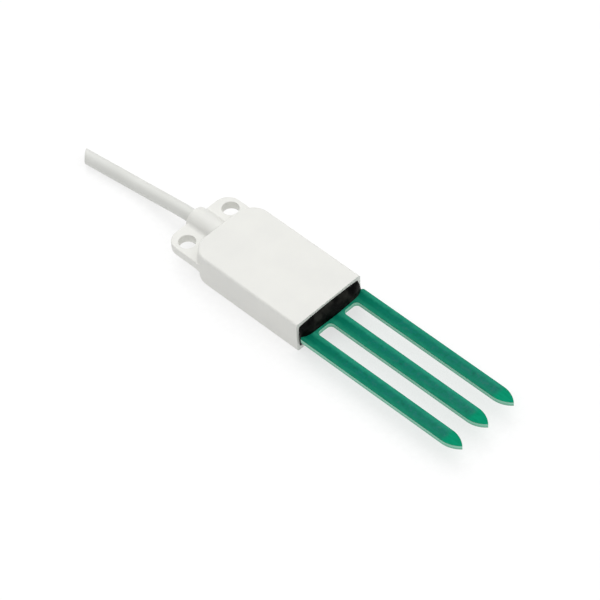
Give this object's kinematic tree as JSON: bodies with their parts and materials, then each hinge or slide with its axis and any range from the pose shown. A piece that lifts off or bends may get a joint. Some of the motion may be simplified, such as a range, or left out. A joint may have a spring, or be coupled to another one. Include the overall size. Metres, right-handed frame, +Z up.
{
  "type": "soil moisture sensor",
  "caption": "Flat circuit board with pointed prongs, potted into a white plastic housing with screw ears and a round cable; the prongs go into soil and sense its moisture.",
  "frame": {"origin": "centre of the bounding box of everything but the cable, at the level of the housing's underside, on which the sensor rests", "axes": "+X along the board towards the prong tips, +Y across the width, +Z up out of the housing's broad upper face"},
  "size_m": [0.1621, 0.0264, 0.0112],
  "materials": {
    "housing_white": "moulded ABS, fine satin",
    "resin_black": "cast epoxy, soft gloss",
    "board_green": "solder mask over copper on glass epoxy",
    "package_black": "moulded epoxy package",
    "lid_metal": "plated lid",
    "tantalum_yellow": "moulded epoxy case",
    "ceramic_tan": "fired ceramic",
    "resistor_black": "glazed film",
    "copper": "bare strands",
    "solder": "reflowed solder",
    "core_red": "PVC insulation",
    "core_black": "PVC insulation",
    "core_white": "PVC insulation",
    "jacket_grey": "PVC sheath",
    "tie_nylon": "natural nylon"
  },
  "bodies": {
    "root": {"housing": "housing_white", "potting_resin": "resin_black", "sensor_board": "board_green", "microcontroller": "package_black", "op_amp": "package_black", "voltage_regulator": "package_black", "protection_diode": "package_black", "crystal_oscillator": "lid_metal", "input_capacitor": "tantalum_yellow", "output_capacitor": "tantalum_yellow", "cable_jacket": "jacket_grey", "cable_tie": "tie_nylon", "supply_core": "core_red", "ground_core": "core_black", "signal_core": "core_white", "ceramic_capacitor_1": "ceramic_tan", "ceramic_capacitor_2": "ceramic_tan", "ceramic_capacitor_3": "ceramic_tan", "ceramic_capacitor_4": "ceramic_tan", "chip_resistor_1": "resistor_black", "chip_resistor_2": "resistor_black", "chip_resistor_3": "resistor_black", "chip_resistor_4": "resistor_black", "chip_resistor_5": "resistor_black", "chip_resistor_6": "resistor_black", "supply_conductor_tip": "copper", "supply_solder_joint": "solder", "ground_conductor_tip": "copper", "ground_solder_joint": "solder", "signal_conductor_tip": "copper", "signal_solder_joint": "solder"}
  },
  "joints": []
}
